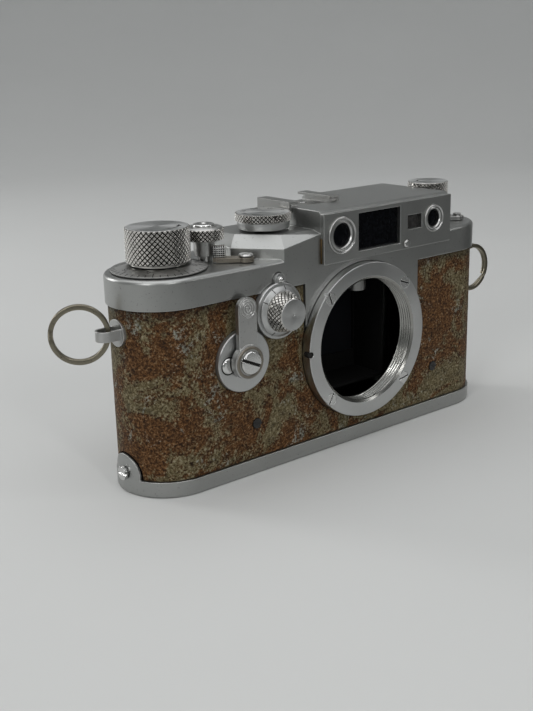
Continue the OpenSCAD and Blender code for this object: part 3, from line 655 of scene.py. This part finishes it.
def make_covering():
    z0, z1, cell, relief = 4.9, 53.1, 0.42, 0.13
    length = 4 * END_X + 2 * math.pi * LEATHER_R
    around = int(length / cell)
    upward = int((z1 - z0) / cell)
    outline = [stadium(length * i / around, LEATHER_R) for i in range(around)]
    verts = []
    for j in range(upward + 1):
        z = z0 + (z1 - z0) * j / upward
        hem = min(1.0, min(j, upward - j) / 2)
        for x, y, nx, ny in outline:
            p = Vector((x, y, z))
            lump = 0.6 * noise.noise(p * 0.85) + 0.4 * noise.noise(p * 0.22)
            sink = relief * (0.5 - 0.5 * lump) * hem + 0.12 * (1 - hem)
            verts.append((x - nx * sink, y - ny * sink, z))
    for z in (z1, z0):
        for i in range(around):
            x, y, _, _ = stadium(length * i / around, SHELL_R + 0.02)
            verts.append((x, y, z))
    rows = list(range(upward + 1)) + [upward + 1, upward + 2, 0]
    faces = []
    for a, b in zip(rows, rows[1:]):
        for i in range(around):
            k = (i + 1) % around
            faces.append((a * around + i, a * around + k, b * around + k, b * around + i))
    cover = piece("leather_covering", verts, faces, Matrix.Identity(4), LEATHER, "camera_body",
                  node="body_covering", slot="covering", smooth=60)
    deep, proud = 13, 16
    mount_hole, slow_hole, timer_hole, dial_hole, screw_hole = 24.1, 8.4, 9.2, 13.7, 1.6
    holes = [cutter(rod(mount_hole, deep, proud), facing_front(LENS)),
             cutter(rod(slow_hole, deep, proud), facing_front(SLOW)),
             cutter(rod(timer_hole, deep, proud), facing_front(TIMER_DISC)),
             cutter(rod(dial_hole, deep, proud), facing_back(FILM_DIAL)),
             cutter(bar(-14.1, 33.4, -15.2, -13.4, 30, 60), Matrix.Identity(4))]
    holes += [cutter(rod(screw_hole, deep, proud, 48), facing_front(at)) for at in SCREWS]
    sideways = Matrix.Rotation(math.pi / 2, 4, "Y")
    lug_hole, lug_x = 3.9, 68
    for side in (-1, 1):
        lug = Matrix.Translation(Vector((side * lug_x, 0, LUG_Z)) * MM)
        holes.append(cutter(rod(lug_hole, -1.5, 1.5, 48), lug @ sideways))
    ear = 6.0
    holes.append(cutter(rod(ear, -3, 1.5, 64), Matrix.Translation(Vector((-67.5, *STUD)) * MM) @ sideways))
    holes.append(cutter(bar(-70.5, -66, STUD[0] - ear, STUD[0] + ear, 1, STUD[1]), Matrix.Identity(4)))
    boolean(cover, holes)
    cover.data.set_sharp_from_angle(angle=math.radians(60))


make_covering()


# ---- lens mount ----

def make_mount():
    face, rear, back = 18.0, 12.5, 13.9
    crest, outer, sleeve = 18.9, 23.9, 20.5
    pitch, cut_depth = 0.977, 0.62
    first, last, per_turn = 12.9, 17.3, 8
    rows = int((last - first) / pitch * per_turn)
    bore = [(crest, first + (last - first) * i / rows) for i in range(rows + 1)]
    body = filleted([(crest + 0.8, face), (outer, face), (outer, back), (sleeve, back), (sleeve, rear),
                     (crest, rear)], 0.35)
    profile = bore + [(crest, last + 0.12)] + body

    def thread(turn, r, h):
        if r > crest + 1e-6 or not first < h < last:
            return np.full(len(turn), r)
        phase = (h / pitch + turn / (2 * math.pi)) % 1.0
        fade = min(1.0, (h - first) / 0.5, (last - h) / 0.5)
        return r + cut_depth * fade * (1 - np.abs(2 * phase - 1)) ** 1.2

    verts, faces = lathe(profile, 224, ring=True, warp=thread)
    mount = piece("lens_mount_flange", verts, faces, facing_front(LENS), FLANGE, "camera_body",
                  node="lens_mount_ring", slot="bright_chrome", smooth=28)
    holes = []
    for i in range(4):
        holes.append(cutter(rod(2.0, face - 1.1, face + 1, 48), facing_front(mount_screw(i))))
    notch = (LENS[0] - outer + 0.45, LENS[1])
    holes.append(cutter(rod(1.0, face - 2.2, face + 1, 32), facing_front(notch)))
    boolean(mount, holes)
    mount.data.set_sharp_from_angle(angle=math.radians(28))
    mount.data.materials.append(THREAD)
    thread_slot = len(mount.data.materials) - 1
    for face_of_bore in mount.data.polygons:
        if math.hypot(face_of_bore.center.x, face_of_bore.center.y) < (crest + cut_depth) * MM:
            face_of_bore.material_index = thread_slot
    piece("mount_index", *rod(0.97, face - 2.2, face - 0.35, 32), facing_front(notch), INK_AND_PAINTED_SHADE, "camera_body")


def make_painted_slot_shade():
    """Black strips of painted shade at the bottom of the screw slots and along the apron's gap."""
    for i in range(4):
        line = moved(bar(-1.75, 1.75, -0.2, 0.2, 17.4, 17.72), -20 - 50 * i)
        piece(f"mount_slot_painted_shade_{i}", *line, facing_front(mount_screw(i)), INK_AND_PAINTED_SHADE, "camera_body", smooth=0)
    line = moved(bar(-3.1, 3.1, -0.38, 0.38, 19.3, 19.55), -25)
    piece("timer_slot_painted_shade", *line, facing_front(TIMER), INK_AND_PAINTED_SHADE, "timer_lever", smooth=0)
    piece("apron_gap_painted_shade", *bar(-14.08, -13.82, -14.75, -14.0, 33.5, 53.2), Matrix.Identity(4), INK_AND_PAINTED_SHADE,
          "camera_body", smooth=0)


def make_bezels():
    """Polished bezels: a rolled outer edge, a shallow dish and a throat down to the glass."""
    parts = []
    for (x, z), outer, wide_hole in BEZELS:
        hole = wide_hole - 0.2
        inner = outer - (0.95 if outer > 5 else 0.65)
        throat = [(hole, 15.25), (hole, 16.5), (hole + 0.32, 16.98), (hole + 0.62, 17.02)]
        rolled_edge = [(outer - 0.75, 16.86), (outer - 0.4, 17.28), (outer - 0.12, 17.22), (outer, 16.95)]
        profile = throat + rolled_edge + [(outer, 16.62), (inner, 16.62), (inner, 15.25)]
        verts, faces = lathe(filleted(profile, 0.12, closed=True), 96, ring=True)
        parts.append(moved((verts, faces), 0, (x, z, 0)))
    piece("polished_bezels", *merged(parts), facing_front((0, 0)), BEZEL, "camera_body",
          node="rangefinder_bezels", slot="bright_chrome", smooth=40)


def make_plate_dirt():
    """Brown dirt gathered along the left edge of the window plate."""
    piece("window_plate_dirt", *bar(-7.93, -7.72, -15.75, -15.15, 58.2, 65.5, 0.05), Matrix.Identity(4),
          OLD_GRIME, "camera_body", smooth=0)


make_mount()
make_painted_slot_shade()
make_plate_dirt()
make_bezels()


# ---- knobs and dials on top ----

def curved_arrow(radius, start, end, z, wide=0.2, head=0.8):
    """An engraved arrow bent round the local axis, from one angle to another, in degrees."""
    angles = np.radians(np.linspace(start, end, 16))
    half = wide * np.minimum(1, np.linspace(0.3, 3, 16))
    outer = [(r * math.cos(a), r * math.sin(a)) for r, a in zip(radius + half, angles)]
    inner = [(r * math.cos(a), r * math.sin(a)) for r, a in zip((radius - half)[::-1], angles[::-1])]
    back, tip = math.radians(end - 2), math.radians(end) + math.copysign(2.0 / radius, end - start)
    corners = [((radius + head) * math.cos(back), (radius + head) * math.sin(back)),
               ((radius - head) * math.cos(back), (radius - head) * math.sin(back)),
               (radius * math.cos(tip), radius * math.sin(tip))]
    return merged([prism(outer + inner, z - 0.005, z + 0.01), prism(corners, z - 0.005, z + 0.01)])


def make_advance():
    place = upright(ADVANCE)
    knurled_piece("advance_grip", [(7.9, 63.3), (7.9, 63.9), (8.5, 63.9), (8.62, 64.05)],
                  (8.9, 64.15, 8.9, 73.22), [(8.72, 73.3), (8.5, 73.36)], 1.46, 0.32, place, KNURL,
                  "advance", node="advance_knob")
    turned_piece("advance_top", [(0, 73.0), (8.5, 73.0), (8.5, 73.4), (0, 73.4)], place, TURNED,
                 "advance", 0.05)
    piece("advance_arrow", *curved_arrow(6.05, -108, -43, 73.4), place, INK_AND_PAINTED_SHADE, "advance", smooth=0)


def make_counter():
    place = upright(ADVANCE)
    bottom, rim, slope = 61.8, 62.1, -0.225
    bore, flat, outer = 2.6, 9.3, 13.3
    top = rim - slope * (outer - flat)
    profile = [(bore, bottom), (outer, bottom), (outer, rim), (flat, top), (bore, top)]
    turned_piece("counter_disc", profile, place, COUNTER, "counter", 0.05, segments=128, ring=True,
                 node="counter_dial")

    def on_cone(part):
        verts = np.array(part[0], float)
        verts[:, 2] += rim + slope * (np.hypot(verts[:, 0], verts[:, 1]) - outer)
        return verts, part[1]

    parts = []
    for i in range(40):
        start = 10.9 if i % 5 == 0 else 11.9
        parts.append(moved(bar(start, 13.15, -0.11, 0.11, -0.02, 0.03), i * 9 + 4))
    numerals = [glyphs(str(5 * i), 2.3, 0.0) for i in range(8)]
    parts += ring_of(numerals, 10.0, [i * 45 + 221 for i in range(8)])
    piece("counter_marks", *merged([on_cone(part) for part in parts]), place, INK_AND_PAINTED_SHADE, "counter", smooth=0)


def make_release():
    place = upright(RELEASE)
    stem = [(2.0, 61.5), (2.0, 63.2), (3.1, 63.2), (3.1, 67.5), (3.0, 68.2), (1.4, 68.2), (1.4, 61.5)]
    turned_piece("release_stem", stem, place, FITTING, "camera_body", 0.15, ring=True, node="release_collar")
    knurled_piece("release_collar_grip", [(3.0, 67.5), (4.9, 67.5), (5.45, 67.75)], (5.7, 67.9, 5.7, 70.75),
                  [(5.5, 70.88), (5.35, 70.95)], 1.3, 0.28, place, KNURL, "camera_body")
    rim = [(3.45, 68.3), (5.35, 68.3), (5.35, 70.95), (4.9, 71.3), (3.9, 71.3), (3.45, 70.9)]
    turned_piece("release_collar_rim", rim, place, FITTING, "camera_body", 0.15, ring=True)
    cup = [(0, 71.50), (1.4, 71.62), (2.3, 71.92)]
    turned_piece("release_button_cap", [(0, 69.6), (3.15, 69.6), (3.15, 71.8), (2.85, 72.1), *cup[::-1]],
                 place, BRIGHT, "release", 0.12, node="release_button")


def make_speed_dial():
    place = upright(SPEED)
    lower = [(2.3, 68.4), (7.2, 68.4), (7.45, 68.55), (7.75, 70.4), (7.5, 70.72), (2.3, 70.72)]
    turned_piece("speed_ring", lower, place, TURNED, "speed_dial", 0.1, segments=128, ring=True,
                 node="speed_dial_ring")
    knurled_piece("speed_grip", [(2.3, 70.7), (7.9, 70.7), (8.0, 70.78)], (8.2, 70.85, 8.2, 72.95),
                  [(8.05, 73.02), (7.8, 73.06)], 1.15, 0.26, place, KNURL, "speed_dial", node="speed_dial")
    turned_piece("speed_top", [(0, 72.7), (7.8, 72.7), (7.8, 73.05), (7.5, 73.1), (0, 73.1)], place, TURNED,
                 "speed_dial", 0.08)
    labels = ["B", "30", "60", "125", "250", "500", "1000"]
    numerals = [glyphs(text, 1.7, 73.1) for text in labels]
    marks = ring_of(numerals, 6.0, [i * 46 - 60 for i in range(len(labels))])
    notch = moved(bar(7.9, 8.28, -0.32, 0.32, 71.9, 72.9), -104)
    piece("speed_marks", *merged(marks + [notch]), place, INK_AND_PAINTED_SHADE, "speed_dial", smooth=0)


def make_mode_lever():
    turn = Matrix.Rotation(math.radians(LEVER_TURN), 4, "Z")
    place = upright(LEVER) @ turn
    # Painted shade: a black block behind the serration ridges darkens the grooves between them.
    piece("mode_lever_grooves", *bar(5.72, 9.18, -0.78, 0.78, 63.1, 66.35), place, INK_AND_PAINTED_SHADE, "ar_lever", smooth=0)
    ridges = [bar(5.6, 9.3, -0.9, 0.9, z, z + 0.24, 0.05) for z in np.arange(63.2, 66.2, 0.6)]
    ridges += [bar(x, x + 0.24, -0.9, 0.9, 63.1, 66.4, 0.05) for x in np.arange(5.68, 9.2, 0.6)]
    piece("mode_lever_serration", *merged(ridges), place, FITTING, "ar_lever", smooth=0)
    numerals = [moved(glyphs(text, 1.7, 61.52), 0, at)
                for text, at in (("1", (-35.2, -12.9, 0)), ("2", (-31.6, -14.0, 0)))]
    piece("mode_marks", *merged(numerals), Matrix.Identity(4), INK_AND_PAINTED_SHADE, "camera_body", smooth=0)


def make_rewind():
    place = upright(REWIND)
    knurled_piece("rewind_grip", [(2.1, 68.4), (6.1, 68.4), (6.35, 68.6)], (6.6, 68.75, 6.6, 74.4),
                  [(6.42, 74.5), (6.2, 74.58)], 1.3, 0.28, place, KNURL, "rewind_knob", node="rewind_knob")
    turned_piece("rewind_top", [(0, 73.5), (6.2, 73.5), (6.2, 74.6), (6.0, 74.7), (0, 74.7)], place, TURNED,
                 "rewind_knob", 0.06)
    neck = [(2.1, 63.9), (4.0, 63.9), (4.0, 64.6), (3.6, 65.0), (3.6, 67.8), (4.4, 68.4), (2.1, 68.4)]
    turned_piece("rewind_neck", neck, place, FITTING, "rewind_knob", 0.2, ring=True)
    piece("rewind_arrow", *curved_arrow(3.6, 20, 120, 74.7, 0.12, 0.6), place, INK_AND_PAINTED_SHADE, "rewind_knob", smooth=0)


make_advance()
make_counter()
make_release()
make_speed_dial()
make_mode_lever()
make_rewind()


# ---- controls on the front ----

def make_slow_dial():
    place = facing_front(SLOW)
    turned_piece("slow_scale", [(0, 16.4), (7.3, 16.4), (7.3, 16.85), (6.1, 17.9), (0, 17.9)], place, TURNED,
                 "slow_dial", 0.12, segments=128, node="slow_dial_scale")
    knurled_piece("slow_grip", [(5.7, 17.85), (5.85, 17.95)], (5.95, 18.05, 4.72, 21.95),
                  [(4.5, 22.05), (4.45, 22.15)], 1.3, 0.3, place, KNURL, "slow_dial", node="slow_dial_knob")
    face = [(0, 21.8), (4.45, 21.8), (4.45, 22.15), (4.3, 22.3), (0.35, 22.3), (0.3, 22.18), (0, 22.18)]
    turned_piece("slow_face", face, place, TURNED, "slow_dial", 0.06)
    marks = []
    for angle in (150, 115, 80, 30, -20, -70, -120):
        stroke = bar(-0.5, 0.9, -0.12, 0.12, 0, 0.03)
        verts = np.array(stroke[0])
        tilt = math.atan2(1.05, -1.2)
        verts = np.column_stack([6.7 + verts[:, 0] * -math.cos(tilt), verts[:, 1],
                                 17.38 - verts[:, 0] * math.sin(tilt) + verts[:, 2] * 0.9])
        marks.append(moved((verts, stroke[1]), angle))
    piece("slow_marks", *merged(marks), place, INK_AND_PAINTED_SHADE, "slow_dial", smooth=0)
    dome = [(0.95 * math.cos(t), 16.6 + 0.6 * math.sin(t)) for t in np.linspace(0, math.pi / 2, 8)[:-1]]
    turned_piece("slow_pin", [(0, 16.0), (0.95, 16.0), *dome, (0, 17.2)], facing_front(SLOW_PIN), BRIGHT,
                 "camera_body", 0.02, segments=48, node="slow_dial_pin")


def make_timer():
    place = facing_front(TIMER)
    ripple = [(0.0, 18.62)]
    for r in np.arange(0.35, 2.75, 0.1):
        crest = 0.5 + 0.5 * math.cos(2 * math.pi * (r - 0.35) / 0.78)
        ripple.append((float(r), 18.40 + 0.22 * crest))
    verts, faces = lathe([(2.8, 18.3), (2.8, 18.40)] + ripple[::-1][:-1], 72)
    tip = facing_front((TIMER[0], TIMER[1] + 15.2))
    piece("timer_lever_rings", verts, faces, tip, FITTING, "timer_lever", smooth=50)
    hub = [(3.75, 18.7), (4.6, 18.7), (4.6, 18.98), (4.3, 19.15), (3.75, 19.15)]
    turned_piece("timer_hub_ring", hub, place, GRIMY, "timer_lever", 0.1, ring=True)
    head = [(0, 18.6), (3.4, 18.6), (3.4, 19.6), (3.05, 20.0), (0, 20.0)]
    slotted = turned_piece("timer_hub_screw", head, place, STEEL, "timer_lever", 0.15,
                           node="timer_screw", slot="screw_steel")
    boolean(slotted, [cutter(moved(bar(-5, 5, -0.42, 0.42, 19.3, 21), -25), place)])
    slotted.data.set_sharp_from_angle(angle=math.radians(32))
    turned_piece("timer_button_cap", [(0, 14.8), (2.3, 14.8), (2.3, 16.1), (1.9, 16.45), (0, 16.5)],
                 facing_front(TIMER_BUTTON), BRIGHT, "timer_button", 0.2, segments=64, node="timer_button")
    # Painted shade: a black ring fills the gap around the button.
    gap = [(2.32, 15.2), (2.62, 15.2), (2.62, 16.03), (2.32, 16.03)]
    turned_piece("timer_button_gap", gap, facing_front(TIMER_BUTTON), INK_AND_PAINTED_SHADE, "camera_body", 0.02,
                 segments=64, ring=True)


make_slow_dial()
make_timer()


# ---- strap rings ----

def make_ring(name, node, body, side, turn, tilt):
    """A split ring: one wire wound twice, with the step where it crosses from one turn to the other."""
    wide, tall, steps = 0.43, 0.68, 220
    section = filleted([(-tall, -wide), (tall, -wide), (tall, wide), (-tall, wide)], 0.32, 3, closed=True)
    verts, faces, n = [], [], len(section)
    start, total = 0.15, 4 * math.pi - 0.12
    for i in range(steps + 1):
        t = total * i / steps
        step = min(1.0, max(0.0, (t - 2 * math.pi + 0.45) / 0.5))
        side_shift = -0.455 + 0.91 * step * step * (3 - 2 * step)
        a = t + start
        for u, w in section:
            r = RING_MID + u
            verts.append((r * math.cos(a), r * math.sin(a), w + side_shift))
    for i in range(steps):
        for k in range(n):
            m = (k + 1) % n
            faces.append((i * n + k, i * n + m, (i + 1) * n + m, (i + 1) * n + k))
    faces.append(tuple(range(n - 1, -1, -1)))
    faces.append(tuple(steps * n + k for k in range(n)))
    place = (Matrix.Translation(Vector((side * EYE_X, 0, LUG_Z)) * MM)
             @ Matrix.Rotation(math.radians(turn), 4, "Z")
             @ Matrix.Rotation(math.radians(-tilt), 4, "Y")
             @ Matrix.Translation(Vector((RING_MID, 0, 0)) * MM)
             @ Matrix.Rotation(math.pi / 2, 4, "X"))
    placed = [place @ (Vector(v) * MM) / MM for v in verts]
    piece(name, placed, faces, Matrix.Identity(4), WIRE, body, node=node, slot="ring_wire", smooth=50)


make_ring("strap_ring_left", "ring_left", "ring_left", -1, 150, 4)
make_ring("strap_ring_right", "ring_right", "ring_right", 1, 0, -36)


# ---- back ----

def make_film_dial():
    place = facing_back(FILM_DIAL)
    disc = [(0, 14.7), (12.1, 14.7), (12.1, 15.5), (11.8, 15.8), (10.6, 15.8), (10.5, 15.65), (4.4, 15.65),
            (4.3, 15.8), (0, 15.8)]
    turned_piece("film_disc", disc, place, TURNED, "film_dial", 0.08, segments=128, node="film_dial")
    labels = ["10", "20", "40", "50", "80", "100", "200", "400"]
    parts = ring_of([glyphs(text, 2.0, 15.66) for text in labels], 7.6, [i * 45 for i in range(8)])
    parts += [moved(bar(9.2, 10.3, -0.09, 0.09, 15.6, 15.68), i * 15) for i in range(24)]
    piece("film_dial_marks", *merged(parts), place, INK_AND_PAINTED_SHADE, "film_dial", smooth=0)


make_film_dial()


# ---- stage, light and camera ----

FLOOR = plain("pale_floor", (0.60, 0.605, 0.595), 0.85, spec=0.1, grain=60, bump=0.05, vary=0.03)
FRONT_CARD = plain("grey_card", (0.30, 0.305, 0.30), 0.9, spec=0.1, grain=60, bump=0.05, vary=0.05)
SIDE_CARD = plain("dark_card", (0.10, 0.102, 0.10), 0.9, spec=0.1, grain=60, bump=0.05, vary=0.05)


def make_stage():
    """A pale floor that curves up into a backdrop on every side."""
    flat, rise, height, segments, steps = 700.0, 900.0, 2200.0, 96, 12
    profile = [(0.0, 0.0), (flat * 0.5, 0.0), (flat, 0.0)]
    for t in np.linspace(0, math.pi / 2, steps)[1:]:
        profile.append((flat + rise * math.sin(t), rise * (1 - math.cos(t))))
    profile.append((flat + rise, height))
    verts, faces = [(0.0, 0.0, 0.0)], []
    for r, h in profile[1:]:
        for i in range(segments):
            a = 2 * math.pi * i / segments
            verts.append((r * math.cos(a), r * math.sin(a), h))
    faces += [(0, 1 + i, 1 + (i + 1) % segments) for i in range(segments)]
    for j in range(len(profile) - 2):
        a, b = 1 + j * segments, 1 + (j + 1) * segments
        faces += [(a + i, b + i, b + (i + 1) % segments, a + (i + 1) % segments) for i in range(segments)]
    mesh = bpy.data.meshes.new("studio_floor")
    mesh.from_pydata((np.array(verts) * MM).tolist(), [], faces)
    mesh.shade_smooth()
    mesh.materials.append(FLOOR)
    floor = bpy.data.objects.new("studio_floor", mesh)
    bpy.context.scene.collection.objects.link(floor)


def reflection_card(name, corners, look):
    """A grey card that only shows in reflections, the way a studio flag does."""
    mesh = bpy.data.meshes.new(name)
    mesh.from_pydata((np.array(corners, float) * MM).tolist(), [], [(0, 1, 2, 3)])
    mesh.materials.append(look)
    card = bpy.data.objects.new(name, mesh)
    bpy.context.scene.collection.objects.link(card)
    card.visible_camera = False
    card.visible_diffuse = False
    card.visible_shadow = False


def make_cards():
    lying = 2
    left, middle_x, right, wall_left = -700, 85, 560, -800
    near, far, edge, side_left, side_back = -690, -135, 690, 150, 60
    reflection_card("front_card", [(left, far, lying), (middle_x, far, lying),
                                   (middle_x, near, lying), (left, near, lying)], FRONT_CARD)
    reflection_card("right_card", [(middle_x, far, lying), (right, far, lying),
                                   (right, near, lying), (middle_x, near, lying)], SIDE_CARD)
    reflection_card("side_card", [(side_left, far, lying), (edge, far, lying),
                                  (edge, side_back, lying), (side_left, side_back, lying)], SIDE_CARD)
    wall, side_wall, split = 520, 420, 100
    reflection_card("front_wall", [(wall_left, near, 0), (split, near, 0),
                                   (split, near, wall), (wall_left, near, wall)], FRONT_CARD)
    reflection_card("right_wall", [(split, near, 0), (edge, near, 0),
                                   (edge, near, wall), (split, near, wall)], SIDE_CARD)
    reflection_card("side_wall", [(edge, near, 0), (edge, side_back, 0),
                                  (edge, side_back, side_wall), (edge, near, side_wall)], SIDE_CARD)


def area_light(name, at, aim, size, power):
    data = bpy.data.lights.new(name, "AREA")
    data.shape = "RECTANGLE"
    data.size, data.size_y = size[0] * MM, size[1] * MM
    data.energy = power
    lamp = bpy.data.objects.new(name, data)
    bpy.context.scene.collection.objects.link(lamp)
    lamp.location = Vector(at) * MM
    lamp.rotation_euler = (Vector(aim) - Vector(at)).to_track_quat("-Z", "Y").to_euler()
    lamp.visible_camera = False


def make_lights():
    world = bpy.data.worlds.new("studio")
    bpy.context.scene.world = world
    world.use_nodes = True
    back = world.node_tree.nodes["Background"]
    back.inputs["Color"].default_value = (0.93, 0.96, 1.0, 1)
    back.inputs["Strength"].default_value = 0.40
    aim = (0, 0, 40)
    area_light("overhead", (-60, 0, 900), aim, (1500, 1200), 5.9)
    area_light("left_window", (-620, -300, 420), aim, (200, 320), 1.0)
    area_light("back_window", (-350, 600, 300), aim, (160, 300), 1.2)
    area_light("front_strip", (-130, -620, 420), aim, (60, 260), 0.5)
    area_light("right_strip", (480, -520, 330), aim, (70, 300), 0.4)


def make_camera():
    data = bpy.data.cameras.new("photo_view")
    data.lens = 52.91
    data.sensor_width = 36.0
    data.clip_start = 0.01
    data.clip_end = 20
    camera = bpy.data.objects.new("photo_view", data)
    bpy.context.scene.collection.objects.link(camera)
    yaw, pitch, roll = (math.radians(a) for a in (38.797, 16.992, 1.493))
    forward = Vector((math.sin(yaw) * math.cos(pitch), math.cos(yaw) * math.cos(pitch), -math.sin(pitch)))
    level = Vector((math.cos(yaw), -math.sin(yaw), 0))
    down = forward.cross(level)
    right = math.cos(roll) * level + math.sin(roll) * down
    low = -math.sin(roll) * level + math.cos(roll) * down
    turn = Matrix((right, -low, -forward)).transposed().to_4x4()
    camera.matrix_world = Matrix.Translation(Vector((-206.567, -236.230, 121.610)) * MM) @ turn
    bpy.context.scene.camera = camera


make_stage()
make_cards()
make_lights()
make_camera()
bpy.context.scene.view_settings.view_transform = "Standard"
